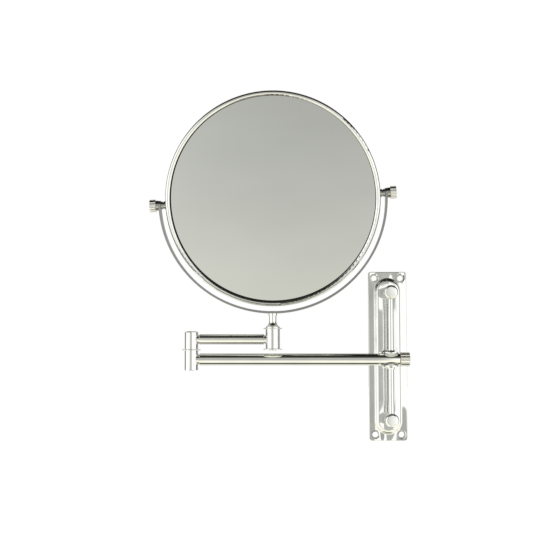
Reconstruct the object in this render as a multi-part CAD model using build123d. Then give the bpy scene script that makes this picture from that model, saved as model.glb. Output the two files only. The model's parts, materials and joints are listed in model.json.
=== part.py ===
from build123d import *
import os
from math import cos, radians, sin, sqrt

# Extendable shaving mirror: a wall plate with a vertical rail, a two-part swinging arm
# that slides on the rail, and a round two-sided mirror in a half-ring yoke.
# Millimetres. The origin is the middle of the wall plate's back, on the wall.
# +Z is up, -Y points out of the wall, +X is to the right seen from the room.

os.makedirs("parts", exist_ok=True)

# Wall plate
PLATE_WIDTH = 36.5
PLATE_HEIGHT = 161.0
FLANGE_THICK = 2.5
PLATE_CORNER = 2.5
BOSS_WIDTH = 24.0
BOSS_HEIGHT = 147.0
BOSS_FRONT = 6.5
BOSS_WALL = 1.5
HOLE_SPACING_X = 25.0
HOLE_SPACING_Z = 149.0
HOLE_DIA = 5.2
COUNTERSINK_DIA = 8.8

# Rail
RAIL_OUT = 28.0
ROD_DIA = 5.4
PILLAR_SPACING = 119.0
PILLAR_DIA = 13.0
PILLAR_NOSE = 7.5
ROD_SOCKET = 3.6
FIXING_DIA = 4.0

# Arms
LOWER_LENGTH = 186.0
LOWER_TUBE_DIA = 11.0
UPPER_LENGTH = 76.0
UPPER_TUBE_DIA = 9.5
UPPER_TURN = -3.8
TUBE_WALL = 0.8
LOWER_Z = -3.1
SPLIT_Z = 5.7
UPPER_Z = 15.5

# Elbow and post
ELBOW_DIA = 12.6
ELBOW_LOW = -13.2
ELBOW_TOP = 21.9
ELBOW_DOME = 1.3
POST_DIA = 13.3
POST_LOW = 6.8
POST_TOP = 25.2
WASHER_DIA = 17.4
WASHER_THICK = 0.8
PIN_DIA = 6.0
NECK_LENGTH = 1.4
SPIGOT_LENGTH = 9.0

# Slider and clamp
BUSH_DIA = 7.6
COLLAR_RIM_DIA = 14.2
COLLAR_RIM = 1.1
COLLAR_FLARE = 2.4
BUSH_NECK_DIA = 6.6
TUBE_OVERHANG = 8.2
STUD_DIA = 4.0
CLAMP_KNOB_DIA = 13.2
CLAMP_KNOB_LENGTH = 8.6

# Yoke and mirror head
HEAD_Z = 146.7
HEAD_TURN = -2.0
HEAD_LEAN = 3.0
HEAD_TILT = 9.0
YOKE_RADIUS = 107.2
YOKE_THICK = 2.0
YOKE_WIDTH = 9.0
RING_RADIUS = 100.8
RING_DEPTH = 12.0
RING_WALL = 1.4
LIP_RADIUS = 96.4
LIP_THICK = 2.0
GLASS_RADIUS = 97.8
FRONT_GLASS_THICK = 2.4
BACK_GLASS_THICK = 2.0
BACK_GLASS_HOLLOW = 3.2
STEM_RADIUS = 3.4
STEM_DISC_THICK = 2.2
BOSS_DIA = 7.4
PIVOT_SCREW_DIA = 4.0
COLLAR_DIA = 9.5
COLLAR_THICK = 2.8
PIVOT_KNOB_DIA = 11.8
PIVOT_KNOB_LENGTH = 5.6

RUNNING = 0.05
PLAY = 0.06

# Places worked out from the sizes above
LOWEST = (Align.CENTER, Align.CENTER, Align.MIN)
PILLAR_Z = PILLAR_SPACING / 2
BARREL_RADIUS = ELBOW_DIA / 2
LOWER_TUBE_END = -(LOWER_LENGTH - BARREL_RADIUS - NECK_LENGTH)
POST_X = -LOWER_LENGTH + UPPER_LENGTH * cos(radians(UPPER_TURN))
POST_Y = -RAIL_OUT + UPPER_LENGTH * sin(radians(UPPER_TURN))

RAIL_PLACE = Location((0, -RAIL_OUT, 0))
ELBOW_PLACE = Location((-LOWER_LENGTH, -RAIL_OUT, 0))
UPPER_PLACE = Location((-LOWER_LENGTH, -RAIL_OUT, UPPER_Z), (0, 0, UPPER_TURN))
POST_PLACE = Location((POST_X, POST_Y, 0))
HEAD_PLACE = Location((POST_X, POST_Y, HEAD_Z), (0, 0, HEAD_TURN))
PIVOT_PLACE = HEAD_PLACE * Rot(0, -HEAD_LEAN, 0)
MIRROR_PLACE = PIVOT_PLACE * Rot(HEAD_TILT, 0, 0)


def save(shape, name):
    """Write one sub-part to its own file."""
    export_step(shape, f"parts/{name}.step")


def post(dia, low, high):
    """A round bar along Z between two heights."""
    return Pos(0, 0, low) * Cylinder(dia / 2, high - low, align=LOWEST)


def bar(dia, start, end):
    """A round bar along X between two places."""
    return Pos(start, 0, 0) * Rot(0, 90, 0) * Cylinder(dia / 2, end - start, align=LOWEST)


def peg(dia, back, front):
    """A round bar along Y. back and front are distances out from the wall."""
    return Pos(0, -back, 0) * Rot(90, 0, 0) * Cylinder(dia / 2, front - back, align=LOWEST)


def dome_middle(reach, rise):
    """Half way out on a shallow dome: the distance out and the drop below its crest."""
    ball = (reach**2 + rise**2) / (2 * rise)
    return reach / 2, ball - sqrt(ball**2 - (reach / 2) ** 2)


def turned(outline):
    """A body of revolution about Z from closed edges in the XZ plane."""
    return revolve(make_face(outline), Axis.Z)


def fluted(dia, length, ribs, flute_dia):
    """A knob along Z with rounded ends and straight flutes around it."""
    blank = Cylinder(dia / 2, length, align=LOWEST)
    blank = fillet(blank.edges().filter_by(GeomType.CIRCLE), 0.5)
    cutters = PolarLocations(dia / 2 + 0.22 * flute_dia, ribs) * Cylinder(
        flute_dia / 2, length, align=LOWEST
    )
    return blank - cutters


def hex_nut(across, low, high, bore):
    """A hexagon nut about Z."""
    nut = Pos(0, 0, low) * extrude(RegularPolygon(across / 2, 6, major_radius=False), high - low)
    return nut - post(bore, low, high)


# Wall plate and rail


def wall_plate():
    flange = extrude(RectangleRounded(PLATE_WIDTH, PLATE_HEIGHT, PLATE_CORNER), FLANGE_THICK)
    flange = fillet(flange.faces().sort_by(Axis.Z)[-1].edges(), 0.6)
    boss = extrude(SlotOverall(BOSS_HEIGHT, BOSS_WIDTH, rotation=90), BOSS_FRONT)
    boss = fillet(boss.faces().sort_by(Axis.Z)[-1].edges(), 3.2)
    pocket_height = BOSS_HEIGHT - 2 * BOSS_WALL
    pocket_width = BOSS_WIDTH - 2 * BOSS_WALL
    pocket = extrude(
        SlotOverall(pocket_height, pocket_width, rotation=90), BOSS_FRONT - BOSS_WALL
    )
    pocket = fillet(pocket.faces().sort_by(Axis.Z)[-1].edges(), 1.8)
    plate = flange + boss
    foot = [e for e in plate.edges() if abs(e.center().Z - FLANGE_THICK) < 0.01]
    foot = [e for e in foot if abs(e.center().X) < BOSS_WIDTH / 2 + 0.1]
    foot = [e for e in foot if abs(e.center().Y) < BOSS_HEIGHT / 2 + 0.1]
    plate = fillet(foot, 1.2) - pocket
    cone_depth = (COUNTERSINK_DIA - HOLE_DIA) / 2
    for x in (-HOLE_SPACING_X / 2, HOLE_SPACING_X / 2):
        for z in (-HOLE_SPACING_Z / 2, HOLE_SPACING_Z / 2):
            plate -= Pos(x, z, 0) * Cylinder(HOLE_DIA / 2, FLANGE_THICK, align=LOWEST)
            plate -= Pos(x, z, FLANGE_THICK - cone_depth) * Cone(
                HOLE_DIA / 2, COUNTERSINK_DIA / 2, cone_depth, align=LOWEST
            )
    for z in (-PILLAR_Z, PILLAR_Z):
        plate -= Pos(0, z, 0) * Cylinder(FIXING_DIA / 2 + 0.2, BOSS_FRONT, align=LOWEST)
    return Rot(90, 0, 0) * plate


def pillar(side):
    """A round pillar on the plate's boss. side is +1 at the top and -1 at the bottom."""
    nose = RAIL_OUT + PILLAR_NOSE
    column = peg(PILLAR_DIA, BOSS_FRONT, nose)
    column = fillet(column.edges().sort_by(Axis.Y)[0], 2.2)
    column -= peg(FIXING_DIA, BOSS_FRONT, RAIL_OUT)
    socket = post(ROD_DIA, -PILLAR_DIA, ROD_SOCKET)
    if side < 0:
        socket = mirror(socket, Plane.XY)
    return Pos(0, 0, side * PILLAR_Z) * (column - Pos(0, -RAIL_OUT, 0) * socket)


def rail_rod():
    half = PILLAR_Z + ROD_SOCKET
    rod = chamfer(post(ROD_DIA, -half, half).edges(), 0.3)
    return RAIL_PLACE * rod


def pillar_screw():
    seat = BOSS_FRONT - BOSS_WALL - 0.8
    head = peg(7.5, seat - 2.4, seat)
    head = fillet(head.edges().sort_by(Axis.Y)[-1], 0.9)
    slot = Pos(0, -seat + 2.4, 0) * Box(6.4, 2.2, 1.0)
    shank = peg(FIXING_DIA, seat, RAIL_OUT - ROD_DIA / 2)
    return head + shank - slot


def pillar_washer():
    inner = BOSS_FRONT - BOSS_WALL
    return peg(9.0, inner - 0.8, inner) - peg(FIXING_DIA + 0.3, inner - 0.8, inner)


# Slider, about the rail's axis with the lower arm's axis at height 0


COLLAR_SEAT = LOWER_TUBE_DIA / 2 + PLAY
NECK_TOP = COLLAR_SEAT + 1.6
BUSH_END = 2.3


def on_rail(shape, side):
    """Place a slider part above the arm (side +1) or mirrored below it (side -1)."""
    if side < 0:
        shape = mirror(shape, Plane.XY)
    return Pos(0, -RAIL_OUT, LOWER_Z) * shape


def rail_bush(side):
    """A plastic half bush that runs on the rod, with a thin neck for the collar."""
    bush = post(BUSH_DIA, BUSH_END, COLLAR_SEAT) + post(BUSH_NECK_DIA, COLLAR_SEAT, NECK_TOP)
    return on_rail(bush - post(ROD_DIA + 2 * RUNNING, BUSH_END, NECK_TOP), side)


def rail_collar(side):
    """A collar pressed on the bush's neck, flared out to a rim that covers the tube's hole."""
    inner = ROD_DIA / 2 + 0.3
    hub = inner + 0.35
    rim = COLLAR_RIM_DIA / 2
    lip = COLLAR_SEAT + COLLAR_RIM
    top = lip + COLLAR_FLARE
    bend = COLLAR_FLARE * sin(radians(45))
    profile = [
        Line((BUSH_NECK_DIA / 2, 0, COLLAR_SEAT), (rim, 0, COLLAR_SEAT)),
        Line((rim, 0, COLLAR_SEAT), (rim, 0, lip)),
        Line((rim, 0, lip), (hub + COLLAR_FLARE, 0, lip)),
        ThreePointArc(
            (hub + COLLAR_FLARE, 0, lip),
            (hub + COLLAR_FLARE - bend, 0, top - bend),
            (hub, 0, top),
        ),
        Line((hub, 0, top), (inner, 0, top)),
        Line((inner, 0, top), (inner, 0, NECK_TOP)),
        Line((inner, 0, NECK_TOP), (BUSH_NECK_DIA / 2, 0, NECK_TOP)),
        Line((BUSH_NECK_DIA / 2, 0, NECK_TOP), (BUSH_NECK_DIA / 2, 0, COLLAR_SEAT)),
    ]
    return on_rail(turned(profile), side)


# Lower arm


def cross_bore(dia):
    return post(dia, -LOWER_TUBE_DIA, LOWER_TUBE_DIA)


def lower_arm_tube():
    tube = bar(LOWER_TUBE_DIA, LOWER_TUBE_END, TUBE_OVERHANG)
    tube = chamfer(tube.edges().filter_by(GeomType.CIRCLE), 0.25)
    tube -= bar(LOWER_TUBE_DIA - 2 * TUBE_WALL, LOWER_TUBE_END, TUBE_OVERHANG)
    return Pos(0, -RAIL_OUT, LOWER_Z) * (tube - cross_bore(BUSH_DIA + 2 * PLAY))


def arm_end_plug():
    plug = bar(LOWER_TUBE_DIA - 2 * TUBE_WALL, -TUBE_OVERHANG - 1, TUBE_OVERHANG)
    plug -= cross_bore(BUSH_DIA + 2 * PLAY)
    plug -= bar(STUD_DIA + 2 * RUNNING, 0, TUBE_OVERHANG)
    return Pos(0, -RAIL_OUT, LOWER_Z) * plug


def spigot(tube_dia, axis_z, reach):
    """The neck and spigot that carry a tube, along +X from a barrel of the given reach."""
    start = reach - 2
    neck = bar(tube_dia - 1.6, start, reach + NECK_LENGTH)
    tongue = bar(tube_dia - 2 * TUBE_WALL, reach + NECK_LENGTH, reach + SPIGOT_LENGTH)
    tongue = chamfer(tongue.edges().sort_by(Axis.X)[-1], 0.5)
    return Pos(0, 0, axis_z) * (neck + tongue)


def lower_elbow_barrel():
    top = SPLIT_Z - WASHER_THICK / 2
    barrel = chamfer(post(ELBOW_DIA, ELBOW_LOW, top).edges(), 0.35)
    barrel += spigot(LOWER_TUBE_DIA, LOWER_Z, BARREL_RADIUS)
    barrel -= post(PIN_DIA, ELBOW_LOW, top)
    barrel -= post(10.2, ELBOW_LOW, ELBOW_LOW + 5.2)
    return ELBOW_PLACE * barrel


def elbow_washer():
    low = SPLIT_Z - WASHER_THICK / 2
    ring = post(WASHER_DIA, low, low + WASHER_THICK)
    ring = fillet(ring.edges(), 0.35)
    return ELBOW_PLACE * (ring - post(PIN_DIA, low, low + WASHER_THICK))


def elbow_pin():
    """A headed pin, fixed in the lower barrel, that the upper barrel turns on."""
    shaft = post(PIN_DIA, ELBOW_LOW + 1.4, ELBOW_TOP - 1.6)
    head = post(9.6, ELBOW_TOP - 3.2, ELBOW_TOP - 1.6)
    return ELBOW_PLACE * chamfer((shaft + head).edges().sort_by(Axis.Z)[-1], 0.3)


def elbow_spring_washer():
    low = ELBOW_LOW + 4.2
    ring = post(9.4, low, low + 1.0) - post(PIN_DIA, low, low + 1.0)
    return ELBOW_PLACE * (ring - Pos(4, 0, low + 0.5) * Rot(20, 0, 0) * Box(5, 0.7, 4))


def elbow_nut():
    nut = hex_nut(8.6, ELBOW_LOW + 1.6, ELBOW_LOW + 4.2, PIN_DIA)
    return ELBOW_PLACE * nut


def elbow_end_plug():
    plug = post(10.2, ELBOW_LOW, ELBOW_LOW + 1.2)
    return ELBOW_PLACE * fillet(plug.edges().sort_by(Axis.Z)[0], 0.4)


# Clamp at the rail end of the lower arm, along +X from the rail's axis


def clamp_pad():
    start = BUSH_DIA / 2 - 1
    pad = bar(STUD_DIA, start, start + 2.4)
    pad -= cross_bore(BUSH_DIA + 0.04)
    return Pos(0, -RAIL_OUT, LOWER_Z) * pad


CLAMP_START = BUSH_DIA / 2 + 1.45
KNOB_START = TUBE_OVERHANG + 0.4
KNOB_SOCKET = 5.4


def clamp_stud():
    stud = bar(STUD_DIA, CLAMP_START, KNOB_START + KNOB_SOCKET)
    stud = chamfer(stud.edges().filter_by(GeomType.CIRCLE), 0.4)
    return Pos(0, -RAIL_OUT, LOWER_Z) * stud


def clamp_knob():
    knob = Rot(0, 90, 0) * fluted(CLAMP_KNOB_DIA, CLAMP_KNOB_LENGTH, 12, 2.2)
    knob -= bar(STUD_DIA, 0, KNOB_SOCKET)
    return Pos(KNOB_START, -RAIL_OUT, LOWER_Z) * knob


# Upper arm, with the elbow's axis at X 0 and the arm along +X


def upper_elbow_barrel():
    low = SPLIT_Z + WASHER_THICK / 2 + RUNNING
    barrel = post(ELBOW_DIA, low, ELBOW_TOP)
    barrel = chamfer(barrel.edges().sort_by(Axis.Z)[0], 0.35)
    barrel += spigot(UPPER_TUBE_DIA, UPPER_Z, BARREL_RADIUS)
    barrel -= post(PIN_DIA + 2 * RUNNING, low, ELBOW_TOP)
    barrel -= post(10.2, ELBOW_TOP - 3.3, ELBOW_TOP)
    return Location((-LOWER_LENGTH, -RAIL_OUT, 0), (0, 0, UPPER_TURN)) * barrel


def elbow_cap():
    """The low dome that closes the elbow's top."""
    rim = BARREL_RADIUS
    crest = ELBOW_TOP + ELBOW_DOME
    floor = ELBOW_TOP - 1.2
    shoulder = ELBOW_TOP + 0.7
    out, drop = dome_middle(rim - 0.7, crest - shoulder)
    profile = [
        Line((0, 0, floor), (5.1, 0, floor)),
        Line((5.1, 0, floor), (5.1, 0, ELBOW_TOP)),
        Line((5.1, 0, ELBOW_TOP), (rim, 0, ELBOW_TOP)),
        Line((rim, 0, ELBOW_TOP), (rim - 0.7, 0, shoulder)),
        ThreePointArc((rim - 0.7, 0, shoulder), (out, 0, crest - drop), (0, 0, crest)),
        Line((0, 0, crest), (0, 0, floor)),
    ]
    return ELBOW_PLACE * turned(profile)


def upper_arm_tube():
    start = BARREL_RADIUS + NECK_LENGTH
    end = UPPER_LENGTH - POST_DIA / 2 - NECK_LENGTH
    tube = chamfer(bar(UPPER_TUBE_DIA, start, end).edges().filter_by(GeomType.CIRCLE), 0.25)
    return UPPER_PLACE * (tube - bar(UPPER_TUBE_DIA - 2 * TUBE_WALL, start, end))


# Post at the end of the upper arm


def post_barrel():
    barrel = chamfer(post(POST_DIA, POST_LOW, POST_TOP).edges(), 0.35)
    barrel += Rot(0, 0, 180) * spigot(UPPER_TUBE_DIA, UPPER_Z, POST_DIA / 2)
    barrel -= post(PIN_DIA + 2.0, POST_LOW, POST_TOP)
    return Location((POST_X, POST_Y, 0), (0, 0, UPPER_TURN)) * barrel


def post_liner():
    """The plastic liner that the stem turns in."""
    sleeve = post(PIN_DIA + 2.0, POST_LOW, POST_TOP)
    return POST_PLACE * (sleeve - post(PIN_DIA + 2 * RUNNING, POST_LOW, POST_TOP))


def thin_washer(low, bore):
    ring = fillet(post(WASHER_DIA, low, low + WASHER_THICK).edges(), 0.35)
    return ring - post(bore, low, low + WASHER_THICK)


STEM_FOOT = POST_TOP + WASHER_THICK + RUNNING
STEM_TOP = HEAD_Z - YOKE_RADIUS - STEM_DISC_THICK
STEM_NECK = STEM_FOOT + 6.4


def swivel_stem():
    """A turned stem: a spigot in the post, a flared foot above it, and a slim neck."""
    pin = PIN_DIA / 2
    foot = 6.55
    profile = [
        Line((0, 0, POST_LOW), (pin, 0, POST_LOW)),
        Line((pin, 0, POST_LOW), (pin, 0, STEM_FOOT)),
        Line((pin, 0, STEM_FOOT), (foot, 0, STEM_FOOT)),
        Line((foot, 0, STEM_FOOT), (foot, 0, STEM_FOOT + 0.9)),
        ThreePointArc(
            (foot, 0, STEM_FOOT + 0.9),
            (STEM_RADIUS + 0.8, 0, STEM_FOOT + 3.2),
            (STEM_RADIUS, 0, STEM_NECK),
        ),
        Line((STEM_RADIUS, 0, STEM_NECK), (STEM_RADIUS, 0, STEM_TOP)),
        Line((STEM_RADIUS, 0, STEM_TOP), (0, 0, STEM_TOP)),
        Line((0, 0, STEM_TOP), (0, 0, POST_LOW)),
    ]
    stem = turned(profile)
    stem -= post(3.2, POST_LOW, POST_LOW + 8)
    stem -= post(4.0, STEM_TOP - 6, STEM_TOP)
    return POST_PLACE * stem


def post_screw():
    """The screw that holds the stem and the lower washer up in the post."""
    head_top = POST_LOW - WASHER_THICK - RUNNING
    head = post(6.6, head_top - 0.9, head_top)
    head = fillet(head.edges().sort_by(Axis.Z)[0], 0.6)
    head -= Pos(0, 0, head_top - 0.9) * Box(5.0, 0.8, 0.7)
    return POST_PLACE * (head + post(3.2, head_top, POST_LOW + 7))


# Yoke and mirror head, about the tilt axis along X, with the plain face towards -Y


def disc_y(radius, near, far):
    """A disc about Y between two depths."""
    return Pos(0, near, 0) * Rot(-90, 0, 0) * Cylinder(radius, far - near, align=LOWEST)


def yoke():
    half = YOKE_WIDTH / 2
    inner = YOKE_RADIUS - YOKE_THICK
    band = disc_y(YOKE_RADIUS, -half, half) - disc_y(inner, -half, half)
    span = 2 * YOKE_RADIUS + 10
    band -= Pos(0, 0, span / 2) * Box(span, YOKE_WIDTH + 2, span)
    for side in (-1, 1):
        low, high = sorted((side * inner, side * YOKE_RADIUS))
        band += bar(YOKE_WIDTH, low, high)
        band -= bar(PIVOT_SCREW_DIA + 2 * RUNNING, low - 1, high + 1)
    band = Rot(0, -HEAD_LEAN, 0) * band
    floor = -YOKE_RADIUS
    band -= post(4.2, floor - 1, floor + YOKE_THICK + 1)
    band -= Pos(0, 0, floor + 0.5) * Cone(2.1, 4.0, 1.9, align=LOWEST)
    return HEAD_PLACE * band


def stem_disc():
    """The small disc between the stem and the yoke, hollowed to the yoke's curve."""
    low = -YOKE_RADIUS - STEM_DISC_THICK
    disc = post(8.0, low, low + STEM_DISC_THICK + 0.5)
    disc = fillet(disc.edges().sort_by(Axis.Z)[0], 0.4)
    disc -= disc_y(YOKE_RADIUS, -10, 10)
    return HEAD_PLACE * (disc - post(4.2, low - 1, low + 4))


def yoke_screw():
    floor = -YOKE_RADIUS
    head = Pos(0, 0, floor + 0.5) * Cone(2.05, 3.7, 1.65, align=LOWEST)
    shank = post(4.0, floor - STEM_DISC_THICK - 5, floor + 0.6)
    slot = Pos(0, 0, floor + 2.1) * Box(6.0, 0.9, 1.2)
    return HEAD_PLACE * (head + shank - slot)


def turned_y(outline):
    """A body of revolution about Y from closed edges in the XY plane."""
    return revolve(make_face(outline), Axis.Y)


HALF_DEPTH = RING_DEPTH / 2
LIP_INSIDE = HALF_DEPTH - LIP_THICK
CORNER = 2.5
NOSE = 1.8
WALL_INSIDE = RING_RADIUS - RING_WALL
BEND = sin(radians(45))


def lip_curve(face):
    """The rounded outer corner, crest and inner nose of a lip. face is -1 front, +1 back."""
    crest = face * HALF_DEPTH
    corner_mid = RING_RADIUS - CORNER * (1 - BEND)
    corner_y = face * (HALF_DEPTH - CORNER * (1 - BEND))
    nose_mid = LIP_RADIUS + NOSE * (1 - BEND)
    nose_y = face * (HALF_DEPTH - NOSE * (1 - BEND))
    start = (RING_RADIUS, face * (HALF_DEPTH - CORNER))
    flat_out = (RING_RADIUS - CORNER, crest)
    flat_in = (LIP_RADIUS + NOSE, crest)
    end = (LIP_RADIUS, face * (HALF_DEPTH - NOSE))
    seat = (LIP_RADIUS, face * LIP_INSIDE)
    return [
        ThreePointArc(start, (corner_mid, corner_y), flat_out),
        Line(flat_out, flat_in),
        ThreePointArc(flat_in, (nose_mid, nose_y), end),
        Line(end, seat),
    ]


def mirror_ring():
    """The outer band and its front lip."""
    edge = HALF_DEPTH - CORNER
    profile = lip_curve(-1) + [
        Line((LIP_RADIUS, -LIP_INSIDE), (WALL_INSIDE, -LIP_INSIDE)),
        Line((WALL_INSIDE, -LIP_INSIDE), (WALL_INSIDE, edge)),
        Line((WALL_INSIDE, edge), (RING_RADIUS, edge)),
        Line((RING_RADIUS, edge), (RING_RADIUS, -edge)),
    ]
    ring = turned_y(profile)
    for side in (-1, 1):
        low, high = sorted((side * (WALL_INSIDE - 1), side * (RING_RADIUS + 1)))
        ring -= bar(4.6, low, high)
    return MIRROR_PLACE * ring


def rear_rim():
    """The rim pressed into the band from behind, which holds the glasses in."""
    edge = HALF_DEPTH - CORNER
    sleeve = GLASS_RADIUS + 0.4
    profile = lip_curve(1) + [
        Line((LIP_RADIUS, LIP_INSIDE), (sleeve, LIP_INSIDE)),
        Line((sleeve, LIP_INSIDE), (sleeve, edge - 0.7)),
        Line((sleeve, edge - 0.7), (WALL_INSIDE, edge - 0.7)),
        Line((WALL_INSIDE, edge - 0.7), (WALL_INSIDE, edge)),
        Line((WALL_INSIDE, edge), (RING_RADIUS, edge)),
    ]
    return MIRROR_PLACE * turned_y(profile)


def plain_glass():
    glass = disc_y(GLASS_RADIUS, -LIP_INSIDE, -LIP_INSIDE + FRONT_GLASS_THICK)
    return MIRROR_PLACE * chamfer(glass.edges().filter_by(GeomType.CIRCLE), 0.3)


def magnifying_glass():
    """The slumped glass on the back. Its hollow face is towards +Y."""
    edge = LIP_INSIDE
    rear = edge - BACK_GLASS_THICK
    dip = BACK_GLASS_HOLLOW
    out, lift = dome_middle(GLASS_RADIUS, dip)
    profile = [
        ThreePointArc((0, edge - dip), (out, edge - dip + lift), (GLASS_RADIUS, edge)),
        Line((GLASS_RADIUS, edge), (GLASS_RADIUS, rear)),
        ThreePointArc((GLASS_RADIUS, rear), (out, rear - dip + lift), (0, rear - dip)),
        Line((0, rear - dip), (0, edge - dip)),
    ]
    return MIRROR_PLACE * turned_y(profile)


def glass_gasket():
    """The foam ring that keeps the two glasses apart at their edges."""
    near = -LIP_INSIDE + FRONT_GLASS_THICK
    far = LIP_INSIDE - BACK_GLASS_THICK - 0.85
    ring = disc_y(GLASS_RADIUS - 0.3, near, far) - disc_y(GLASS_RADIUS - 9, near, far)
    return MIRROR_PLACE * ring


def pivot_boss(side):
    """The threaded boss riveted through the band, which the yoke's screw enters."""
    inner = YOKE_RADIUS - YOKE_THICK
    boss = bar(BOSS_DIA, RING_RADIUS - 1, inner - 2 * RUNNING)
    boss = fillet(boss.edges().sort_by(Axis.X)[-1], 0.4)
    waist = RING_RADIUS + 2.1
    groove = bar(BOSS_DIA + 2, waist - 0.5, waist + 0.5) - bar(
        BOSS_DIA - 1.6, waist - 0.5, waist + 0.5
    )
    boss = boss - groove - disc_y(RING_RADIUS, -8, 8)
    tail = bar(4.6, WALL_INSIDE - 0.9, RING_RADIUS + 0.6)
    boss = boss + tail - bar(3.5, WALL_INSIDE - 0.4, inner)
    return MIRROR_PLACE * (Rot(0, 0, 0 if side > 0 else 180) * boss)


def pivot_screw(side):
    tip = bar(3.4, RING_RADIUS - 0.6, YOKE_RADIUS - YOKE_THICK)
    shank = bar(
        PIVOT_SCREW_DIA,
        YOKE_RADIUS - YOKE_THICK,
        YOKE_RADIUS + RUNNING + COLLAR_THICK + PIVOT_KNOB_LENGTH - 1.6,
    )
    return PIVOT_PLACE * (Rot(0, 0, 0 if side > 0 else 180) * (tip + shank))


def pivot_collar(side):
    start = YOKE_RADIUS + RUNNING
    ring = fillet(bar(COLLAR_DIA, start, start + COLLAR_THICK).edges(), 0.4)
    ring -= bar(PIVOT_SCREW_DIA, start, start + COLLAR_THICK)
    return PIVOT_PLACE * (Rot(0, 0, 0 if side > 0 else 180) * ring)


def pivot_knob(side):
    start = YOKE_RADIUS + RUNNING + COLLAR_THICK
    knob = Rot(0, 90, 0) * fluted(PIVOT_KNOB_DIA, PIVOT_KNOB_LENGTH, 10, 2.2)
    knob -= bar(PIVOT_SCREW_DIA, 0, PIVOT_KNOB_LENGTH - 1.6)
    return PIVOT_PLACE * (Rot(0, 0, 0 if side > 0 else 180) * (Pos(start, 0, 0) * knob))


# Write every sub-part

save(wall_plate(), "wall_plate")
save(rail_rod(), "rail_rod")
for name, side in (("top", 1), ("bottom", -1)):
    save(pillar(side), f"rail_pillar_{name}")
    save(rail_bush(side), f"rail_bush_{name}")
    save(rail_collar(side), f"rail_collar_{name}")
screws = [Pos(0, 0, z) * pillar_screw() for z in (-PILLAR_Z, PILLAR_Z)]
save(Compound(children=screws), "pillar_screws")
washers = [Pos(0, 0, z) * pillar_washer() for z in (-PILLAR_Z, PILLAR_Z)]
save(Compound(children=washers), "pillar_washers")

for make in (
    lower_arm_tube,
    arm_end_plug,
    lower_elbow_barrel,
    elbow_washer,
    elbow_pin,
    elbow_spring_washer,
    elbow_nut,
    elbow_end_plug,
    clamp_pad,
    clamp_stud,
    clamp_knob,
    upper_elbow_barrel,
    elbow_cap,
    upper_arm_tube,
    post_barrel,
    post_liner,
    swivel_stem,
    post_screw,
    yoke,
    stem_disc,
    yoke_screw,
    mirror_ring,
    rear_rim,
    plain_glass,
    magnifying_glass,
    glass_gasket,
):
    save(make(), make.__name__)

save(POST_PLACE * thin_washer(POST_TOP, PIN_DIA + 0.6), "post_washer_top")
low_washer = thin_washer(POST_LOW - WASHER_THICK - RUNNING, 3.2)
save(POST_PLACE * low_washer, "post_washer_bottom")

for name, side in (("left", -1), ("right", 1)):
    save(pivot_boss(side), f"pivot_boss_{name}")
    save(pivot_screw(side), f"pivot_screw_{name}")
    save(pivot_collar(side), f"pivot_collar_{name}")
    save(pivot_knob(side), f"pivot_knob_{name}")
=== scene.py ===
import json
from math import cos, pi, radians, sin, sqrt

import bmesh
import bpy
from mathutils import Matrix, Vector


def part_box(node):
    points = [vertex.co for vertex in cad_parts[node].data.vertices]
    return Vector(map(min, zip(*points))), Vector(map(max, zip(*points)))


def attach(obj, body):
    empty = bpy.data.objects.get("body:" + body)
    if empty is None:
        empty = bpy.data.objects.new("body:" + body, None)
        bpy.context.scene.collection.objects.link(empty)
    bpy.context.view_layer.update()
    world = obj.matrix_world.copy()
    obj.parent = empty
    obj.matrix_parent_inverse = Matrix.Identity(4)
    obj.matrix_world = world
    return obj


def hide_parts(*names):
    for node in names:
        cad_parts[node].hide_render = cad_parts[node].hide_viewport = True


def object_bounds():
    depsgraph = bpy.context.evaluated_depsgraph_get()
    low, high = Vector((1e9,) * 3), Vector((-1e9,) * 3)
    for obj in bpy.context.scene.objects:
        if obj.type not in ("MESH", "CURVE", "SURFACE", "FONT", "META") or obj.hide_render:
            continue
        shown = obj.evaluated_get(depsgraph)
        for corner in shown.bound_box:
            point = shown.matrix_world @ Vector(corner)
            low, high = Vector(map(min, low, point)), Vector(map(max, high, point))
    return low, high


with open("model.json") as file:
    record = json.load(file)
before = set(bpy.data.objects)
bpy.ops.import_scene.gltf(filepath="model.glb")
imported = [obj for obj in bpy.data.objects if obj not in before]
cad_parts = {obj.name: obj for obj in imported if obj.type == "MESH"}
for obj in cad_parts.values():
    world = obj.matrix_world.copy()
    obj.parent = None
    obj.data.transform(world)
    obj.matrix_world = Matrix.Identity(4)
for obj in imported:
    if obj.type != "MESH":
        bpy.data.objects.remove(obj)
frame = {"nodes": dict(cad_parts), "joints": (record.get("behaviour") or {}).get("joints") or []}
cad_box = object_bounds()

NODES = frame["nodes"]
JOINTS = {joint["name"]: joint for joint in frame["joints"]}
MM = 0.001


# Camera, at the height of the wall plate and looking slightly up

CAMERA_PLACE = (-0.1160, -1.0250, 0.0056)
CAMERA_PITCH = 4.48
CAMERA_LENS = 72.0
SENSOR_WIDTH = 36.0


def add_camera():
    data = bpy.data.cameras.new("camera")
    data.lens = CAMERA_LENS
    data.sensor_width = SENSOR_WIDTH
    camera = bpy.data.objects.new("camera", data)
    camera.location = CAMERA_PLACE
    camera.rotation_euler = (radians(90 + CAMERA_PITCH), 0, 0)
    bpy.context.scene.collection.objects.link(camera)
    bpy.context.scene.camera = camera


# Node helpers


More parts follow.
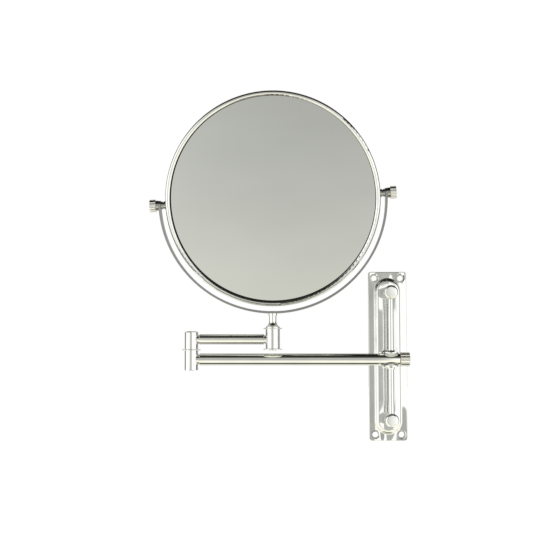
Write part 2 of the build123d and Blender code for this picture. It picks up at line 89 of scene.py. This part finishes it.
class Tree:
    """Makes shader nodes in one tree and links them as they are made."""

    def __init__(self, tree):
        self.tree = tree
        tree.nodes.clear()

    def node(self, kind, settings=None, **inputs):
        made = self.tree.nodes.new(kind)
        for name, value in (settings or {}).items():
            setattr(made, name, value)
        for name, value in inputs.items():
            self.set(made, name.replace("_", " "), value)
        return made

    def set(self, made, name, value):
        socket = made.inputs[int(name)] if name.isdigit() else made.inputs[name]
        if isinstance(value, bpy.types.NodeSocket):
            self.tree.links.new(value, socket)
        else:
            socket.default_value = value

    def math(self, operation, first, second=0.0, third=0.0):
        made = self.tree.nodes.new("ShaderNodeMath")
        made.operation = operation
        for index, value in enumerate((first, second, third)):
            self.set(made, str(index), value)
        return made.outputs[0]

    def smooth(self, value, low, high, bottom=0.0, top=1.0):
        made = self.tree.nodes.new("ShaderNodeMapRange")
        made.interpolation_type = "SMOOTHSTEP"
        for name, item in (
            ("Value", value),
            ("From Min", low),
            ("From Max", high),
            ("To Min", bottom),
            ("To Max", top),
        ):
            self.set(made, name, item)
        return made.outputs["Result"]

    def mix(self, factor, first, second):
        made = self.tree.nodes.new("ShaderNodeMix")
        made.data_type = "RGBA"
        self.set(made, "0", factor)
        self.set(made, "6", first)
        self.set(made, "7", second)
        return made.outputs[2]

    def noise(self, vector, scale, detail=3.0, stretch=(1, 1, 1)):
        mapping = self.node("ShaderNodeMapping", Vector=vector, Scale=stretch)
        made = self.node(
            "ShaderNodeTexNoise",
            Vector=mapping.outputs[0],
            Scale=scale,
            Detail=detail,
        )
        return made.outputs["Fac"]


# The studio: white walls, a soft grey front and back, dark curtains beside the object

WHITE = (1.0, 1.0, 1.0, 1)
BRIGHT = (1.22, 1.22, 1.20, 1)
CREAM = (1.16, 1.13, 0.99, 1)
CENTRE_GREY = (0.435, 0.44, 0.412, 1)
UPPER_GREY = (0.36, 0.365, 0.33, 1)
DARK_SIDE = (0.012, 0.012, 0.011, 1)
BACK_LOW = (0.62, 0.62, 0.58, 1)
BACK_HIGH = (0.42, 0.425, 0.40, 1)
DARK_TOP = (0.045, 0.046, 0.036, 1)
CARD_GREY = (0.40, 0.405, 0.38, 1)
OLIVE_UNDER = (0.13, 0.135, 0.095, 1)

# Ranges below are in components of the unit direction in which a ray leaves

WARM_BELOW = (-0.10, -0.30)
UPPER_START = (0.22, 0.34)
UPPER_HALF_WIDTH = (0.6, 0.3)
PATCH_FADE = (0.66, 0.02)
PATCH_RIGHT_EDGE = (0.124, 0.106)
CARD_HEIGHT = (0.42, 0.30)
CARDS = ((0.215, 0.040), (-0.36, 0.030))
TOP_START = (0.50, 0.62)
UNDER_START = (-0.88, -0.97)
BEHIND_RISE = (-0.45, 0.35)
CURTAIN_END = (0.36, 0.66)
CURTAIN_LEAN = (0.12, 0.62)
CURTAIN_START = (0.02, 0.20)


def add_world():
    world = bpy.data.worlds.new("studio")
    world.use_nodes = True
    bpy.context.scene.world = world
    t = Tree(world.node_tree)
    way = t.node("ShaderNodeTexCoord").outputs["Generated"]
    split = t.node("ShaderNodeSeparateXYZ", Vector=way)
    x, y, z = split.outputs
    across = t.math("POWER", x, 2.0)
    height = t.math("POWER", z, 2.0)
    off_centre = t.math("SQRT", t.math("ADD", across, height))
    low = t.smooth(z, *WARM_BELOW)
    colour = t.mix(low, BRIGHT, CREAM)
    near_middle = t.smooth(t.math("ABSOLUTE", x), *UPPER_HALF_WIDTH)
    upper = t.math("MULTIPLY", t.smooth(z, *UPPER_START), near_middle)
    colour = t.mix(upper, colour, UPPER_GREY)
    front = t.math("LESS_THAN", y, 0.0)
    patch = t.math("MULTIPLY", front, t.smooth(off_centre, *PATCH_FADE))
    patch = t.math("MULTIPLY", patch, t.smooth(x, *PATCH_RIGHT_EDGE))
    colour = t.mix(patch, colour, CENTRE_GREY)
    level = t.smooth(t.math("ABSOLUTE", z), *CARD_HEIGHT)
    for middle, half in CARDS:
        gap = t.math("ABSOLUTE", t.math("SUBTRACT", x, middle))
        narrow = t.math("MULTIPLY", level, t.smooth(gap, half, half * 0.5))
        card = t.math("MULTIPLY", front, narrow)
        colour = t.mix(card, colour, CARD_GREY)
    colour = t.mix(t.smooth(z, *TOP_START), colour, DARK_TOP)
    colour = t.mix(t.smooth(z, *UNDER_START), colour, OLIVE_UNDER)
    sideways = t.math("MULTIPLY_ADD", x, CURTAIN_LEAN[0], y)
    leaning = t.math("MULTIPLY_ADD", z, CURTAIN_LEAN[1], sideways)
    behind = t.mix(t.smooth(z, *BEHIND_RISE), BACK_LOW, BACK_HIGH)
    side = t.mix(t.smooth(y, *CURTAIN_END), DARK_SIDE, behind)
    colour = t.mix(t.smooth(leaning, *CURTAIN_START), colour, side)
    seen = t.node("ShaderNodeBackground", Color=WHITE, Strength=1.0)
    lit = t.node("ShaderNodeBackground", Color=colour, Strength=1.0)
    rays = t.node("ShaderNodeLightPath")
    both = t.node("ShaderNodeMixShader")
    t.set(both, "0", rays.outputs["Is Camera Ray"])
    t.set(both, "1", lit.outputs[0])
    t.set(both, "2", seen.outputs[0])
    out = t.node("ShaderNodeOutputWorld")
    t.set(out, "Surface", both.outputs[0])


FLOOR_DROP = 0.26
FLOOR_SIZE = 9.0
FLOOR_GLOW = 0.88


def add_floor():
    drop = cad_box[0][2] - FLOOR_DROP
    mesh = bpy.data.meshes.new("floor")
    shape = bmesh.new()
    bmesh.ops.create_grid(shape, x_segments=1, y_segments=1, size=FLOOR_SIZE)
    shape.to_mesh(mesh)
    shape.free()
    floor = bpy.data.objects.new("floor", mesh)
    floor.location = (0, 0, drop)
    bpy.context.scene.collection.objects.link(floor)
    material = bpy.data.materials.new("floor")
    material.use_nodes = True
    t = Tree(material.node_tree)
    surface = t.node(
        "ShaderNodeBsdfPrincipled",
        Base_Color=(0.92, 0.92, 0.91, 1),
        Roughness=0.9,
        Emission_Color=(1, 1, 1, 1),
        Emission_Strength=FLOOR_GLOW,
    )
    out = t.node("ShaderNodeOutputMaterial")
    t.set(out, "Surface", surface.outputs[0])
    mesh.materials.append(material)
    floor.visible_glossy = False


KEY_PLACE = (-0.9, -1.1, 1.3)
KEY_WATTS = 9.0
FILL_PLACE = (1.1, -0.9, 0.5)
FILL_WATTS = 4.0
LIGHT_SIZE = 0.9
LIGHT_TARGET = (-0.1, 0, 0.08)


def add_light(name, place, power):
    data = bpy.data.lights.new(name, "AREA")
    data.shape = "DISK"
    data.size = LIGHT_SIZE
    data.energy = power
    light = bpy.data.objects.new(name, data)
    light.location = place
    aim = Vector(LIGHT_TARGET) - Vector(place)
    light.rotation_euler = aim.to_track_quat("-Z", "Y").to_euler()
    light.visible_glossy = False
    bpy.context.scene.collection.objects.link(light)


# Materials


def new_material(name):
    material = bpy.data.materials.new(name)
    material.use_nodes = True
    t = Tree(material.node_tree)
    out = t.node("ShaderNodeOutputMaterial")
    surface = t.node("ShaderNodeBsdfPrincipled")
    t.set(out, "Surface", surface.outputs[0])
    place = t.node("ShaderNodeTexCoord").outputs["Object"]
    return material, t, surface, place


def bumped(t, surface, height, strength, distance):
    bump = t.node("ShaderNodeBump", Height=height, Strength=strength, Distance=distance)
    t.set(surface, "Normal", bump.outputs[0])


def plated(name, tint, dull, grain, grain_strength, warp=0.0):
    """Bright plating: faint polishing grain, soft water marks and a slight change of tone.

    With a warp, the sheet looks wavy at its two pressed ends.
    """
    material, t, surface, place = new_material(name)
    cloud = t.noise(place, 38.0, 4.0)
    marks = t.noise(place, 420.0, 2.0)
    lines = t.noise(place, 60.0, 2.0, grain)
    duller = tuple(c * 0.93 for c in tint)
    t.set(surface, "Base Color", t.mix(t.smooth(cloud, 0.35, 0.7), (*tint, 1), (*duller, 1)))
    rough = t.smooth(cloud, 0.4, 0.75, dull, dull * 2.2)
    rough = t.math("ADD", rough, t.smooth(marks, 0.62, 0.78, 0.0, 0.05))
    rough = t.math("ADD", rough, t.smooth(lines, 0.3, 0.8, 0.0, 0.03))
    t.set(surface, "Roughness", rough)
    t.set(surface, "Metallic", 1.0)
    grained = t.node("ShaderNodeBump", Height=lines, Strength=grain_strength, Distance=0.00002)
    if warp:
        along = t.node("ShaderNodeSeparateXYZ", Vector=place).outputs["Z"]
        ends = t.smooth(t.math("ABSOLUTE", along), *PRESSED_ENDS)
        swell = t.math("MULTIPLY", t.noise(place, 55.0, 1.0, (1, 1, 0.6)), ends)
        pressed = t.node("ShaderNodeBump", Height=swell, Strength=1.0, Distance=warp)
        t.set(grained, "Normal", pressed.outputs[0])
    t.set(surface, "Normal", grained.outputs[0])
    return material


def steel(name, tint, rough_low, rough_high, grain):
    material, t, surface, place = new_material(name)
    lines = t.noise(place, 90.0, 3.0, grain)
    cloud = t.noise(place, 160.0, 4.0)
    darker = tuple(c * 0.72 for c in tint)
    t.set(surface, "Base Color", t.mix(t.smooth(cloud, 0.3, 0.7), (*tint, 1), (*darker, 1)))
    t.set(surface, "Roughness", t.smooth(lines, 0.3, 0.7, rough_low, rough_high))
    t.set(surface, "Metallic", 1.0)
    bumped(t, surface, lines, 0.25, 0.00005)
    return material


def plastic(name, tint, rough):
    material, t, surface, place = new_material(name)
    cloud = t.noise(place, 120.0, 5.0)
    fine = t.noise(place, 1800.0, 2.0)
    darker = tuple(c * 0.86 for c in tint)
    t.set(surface, "Base Color", t.mix(t.smooth(cloud, 0.3, 0.7), (*tint, 1), (*darker, 1)))
    t.set(surface, "Roughness", t.smooth(cloud, 0.3, 0.7, rough, rough + 0.15))
    t.set(surface, "Specular IOR Level", 0.4)
    bumped(t, surface, fine, 0.3, 0.00006)
    return material


def foam(name):
    material, t, surface, place = new_material(name)
    cells = t.node("ShaderNodeTexVoronoi", Vector=place, Scale=900.0).outputs["Distance"]
    t.set(
        surface,
        "Base Color",
        t.mix(t.smooth(cells, 0.1, 0.6), (0.015, 0.015, 0.015, 1), (0.07, 0.07, 0.07, 1)),
    )
    t.set(surface, "Roughness", 0.95)
    bumped(t, surface, cells, 0.8, 0.0003)
    return material


# Painted reflection: a dark band on the glass just inside the lip stands in for the lip's shaded
# underside seen in the glass
PAINTED_LIP_REFLECTION_START = 95.35 * MM
PAINTED_LIP_REFLECTION_SHIFT = (0.35 * MM, 0, 0.45 * MM)
PAINTED_LIP_REFLECTION = (0.012, 0.012, 0.012, 1)


def silvered(name, tint, spot, node):
    """Silvered glass: a clean reflection, faint wiping haze, and a painted dark reflection of the
    lip's shaded underside just inside the lip.
    """
    material, t, surface, place = new_material(name)
    haze = t.noise(place, 9.0, 3.0, (1, 1, 2.5))
    specks = t.noise(place, 700.0, 1.0)
    edge = tuple(c * 0.965 for c in tint)
    low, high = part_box(node)
    middle = [(a + b) / 2 + shift for a, b, shift in zip(low, high, PAINTED_LIP_REFLECTION_SHIFT)]
    from_middle = t.node("ShaderNodeVectorMath", {"operation": "DISTANCE"})
    t.set(from_middle, "0", place)
    t.set(from_middle, "1", middle)
    # rim masks the painted dark reflection of the lip's shaded underside, from the start radius
    # outwards over 0.35 mm
    rim = t.smooth(from_middle.outputs["Value"], PAINTED_LIP_REFLECTION_START, PAINTED_LIP_REFLECTION_START + 0.35 * MM)
    clean = t.mix(t.smooth(haze, 0.35, 0.7), (*tint, 1), (*edge, 1))
    t.set(surface, "Base Color", t.mix(rim, clean, PAINTED_LIP_REFLECTION))
    rough = t.smooth(haze, 0.35, 0.75, 0.012, 0.03)
    t.set(surface, "Roughness", t.math("ADD", rough, t.smooth(specks, 0.74, 0.8, 0.0, spot)))
    t.set(surface, "Metallic", 1.0)
    t.set(surface, "Coat Weight", 0.25)
    t.set(surface, "Coat Roughness", 0.02)
    return material


ALONG_X = (0.02, 9, 9)
ALONG_Z = (9, 9, 0.02)
RINGS_Z = (0.02, 0.02, 30)
RINGS_X = (30, 0.02, 0.02)
EVEN = (1, 1, 1)
CHROME = (0.90, 0.905, 0.885)
PLATE_WARP = 0.0014
PRESSED_ENDS = (0.040, 0.066)

GROUPS = {
    "drawn_x": ("lower_arm_tube", "upper_arm_tube"),
    "drawn_z": ("rail_rod",),
    "turned_z": (
        "lower_elbow_barrel",
        "upper_elbow_barrel",
        "elbow_cap",
        "post_barrel",
        "swivel_stem",
        "stem_disc",
        "rail_collar_top",
        "rail_collar_bottom",
    ),
    "washers": ("elbow_washer", "post_washer_top", "post_washer_bottom", "post_screw"),
    "pillars": ("rail_pillar_top", "rail_pillar_bottom"),
    "plate": ("wall_plate",),
    "ring": ("mirror_ring", "rear_rim"),
    "yoke": ("yoke",),
    "knobs": ("clamp_knob", "pivot_knob_left", "pivot_knob_right"),
    "pivots": ("pivot_boss_left", "pivot_boss_right", "pivot_collar_left", "pivot_collar_right"),
    "zinc": (
        "pillar_screws",
        "pillar_washers",
        "elbow_nut",
        "elbow_spring_washer",
        "yoke_screw",
        "clamp_stud",
        "pivot_screw_left",
        "pivot_screw_right",
    ),
    "pin": ("elbow_pin",),
    "nylon": ("rail_bush_top", "rail_bush_bottom", "clamp_pad", "post_liner", "elbow_end_plug"),
    "brass": ("arm_end_plug",),
    "front_glass": ("plain_glass",),
    "back_glass": ("magnifying_glass",),
    "gasket": ("glass_gasket",),
}


def make_materials():
    return {
        "drawn_x": plated("chrome_tube", CHROME, 0.020, ALONG_X, 0.05),
        "drawn_z": plated("chrome_rod", CHROME, 0.025, ALONG_Z, 0.05),
        "turned_z": plated("chrome_turned", CHROME, 0.025, RINGS_Z, 0.08),
        "washers": plated("chrome_washer", CHROME, 0.035, RINGS_Z, 0.05),
        "pillars": plated("chrome_pillar", CHROME, 0.025, EVEN, 0.03),
        "plate": plated("chrome_plate", CHROME, 0.020, EVEN, 0.03, PLATE_WARP),
        "ring": plated("chrome_ring", CHROME, 0.060, EVEN, 0.03),
        "yoke": plated("chrome_yoke", (0.52, 0.525, 0.515), 0.040, EVEN, 0.03),
        "knobs": plated("chrome_knob", (0.95, 0.945, 0.91), 0.26, RINGS_X, 0.10),
        "pivots": plated("chrome_pivot", (0.44, 0.44, 0.43), 0.040, RINGS_X, 0.06),
        "zinc": steel("zinc_plated", (0.62, 0.62, 0.60), 0.28, 0.42, EVEN),
        "pin": steel("turned_steel", (0.70, 0.70, 0.69), 0.18, 0.30, RINGS_Z),
        "nylon": plastic("nylon", (0.80, 0.79, 0.74), 0.45),
        "brass": steel("brass", (0.78, 0.62, 0.34), 0.20, 0.34, RINGS_X),
        "front_glass": silvered("mirror_plain", (0.915, 0.93, 0.905), 0.10, "plain_glass"),
        "back_glass": silvered(
            "mirror_magnifying", (0.91, 0.925, 0.91), 0.12, "magnifying_glass"
        ),
        "gasket": foam("foam"),
    }


def dress_frame():
    materials = make_materials()
    for group, names in GROUPS.items():
        for name in names:
            slots = NODES[name].material_slots
            if not slots:
                raise ValueError(f"no material slot on {name}")
            for slot in slots:
                slot.material = materials[group]
    missing = set(NODES) - {name for names in GROUPS.values() for name in names}
    if missing:
        raise ValueError(f"nodes with no material: {sorted(missing)}")


# The magnifying glass, turned as one smooth piece, because its reflection shows the CAD mesh's pole

GLASS_RINGS = 90
GLASS_STEPS = 240
POLE_REACH = 4 * MM


def glass_frame():
    """A point on the glasses' axis, and the axis itself, pointing from the plain one backwards."""
    faces = NODES["plain_glass"].data.polygons
    axis = max(faces, key=lambda face: face.area).normal.normalized()
    if axis.y < 0:
        axis = -axis
    return Vector(JOINTS["mirror_tilt"]["pos_m"]), axis


def glass_profile(centre, axis):
    """Radius and height of the turned outline, from the CAD node's own measures."""
    points = []
    for vertex in NODES["magnifying_glass"].data.vertices:
        height = (vertex.co - centre).dot(axis)
        points.append(((vertex.co - centre - axis * height).length, height))
    rim = max(radius for radius, _ in points)
    flat = min(height for _, height in points)
    top = max(height for _, height in points)
    bowl = max(height for radius, height in points if radius < POLE_REACH)
    sag = top - bowl
    curve = (rim**2 + sag**2) / (2 * sag)
    outline = [(rim, flat)]
    for step in range(GLASS_RINGS):
        radius = rim * (1 - step / GLASS_RINGS)
        outline.append((radius, bowl + curve - sqrt(curve**2 - radius**2)))
    return outline, flat, bowl


def add_back_glass():
    centre, axis = glass_frame()
    outline, flat, bowl = glass_profile(centre, axis)
    side = axis.orthogonal().normalized()
    other = axis.cross(side)
    shape = bmesh.new()
    rings = []
    for radius, height in outline:
        ring = []
        for step in range(GLASS_STEPS):
            turn = 2 * pi * step / GLASS_STEPS
            out = side * cos(turn) + other * sin(turn)
            ring.append(shape.verts.new(centre + axis * height + out * radius))
        rings.append(ring)
    under = shape.verts.new(centre + axis * flat)
    pole = shape.verts.new(centre + axis * bowl)
    for step in range(GLASS_STEPS):
        after = (step + 1) % GLASS_STEPS
        shape.faces.new((under, rings[0][step], rings[0][after]))
        shape.faces.new((pole, rings[-1][after], rings[-1][step]))
        for lower, upper in zip(rings, rings[1:]):
            shape.faces.new((lower[step], upper[step], upper[after], lower[after]))
    bmesh.ops.recalc_face_normals(shape, faces=shape.faces)
    mesh = bpy.data.meshes.new("turned_magnifying_glass")
    shape.to_mesh(mesh)
    shape.free()
    for polygon in mesh.polygons:
        polygon.use_smooth = True
    mesh.set_sharp_from_angle(angle=radians(30))
    mesh.materials.append(NODES["magnifying_glass"].material_slots[0].material)
    glass = bpy.data.objects.new("turned_magnifying_glass", mesh)
    bpy.context.scene.collection.objects.link(glass)
    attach(glass, "mirror_head")
    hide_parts("magnifying_glass")


add_camera()
add_world()
add_floor()
add_light("key", KEY_PLACE, KEY_WATTS)
add_light("fill", FILL_PLACE, FILL_WATTS)
bpy.context.scene.view_settings.view_transform = "Standard"
dress_frame()
add_back_glass()
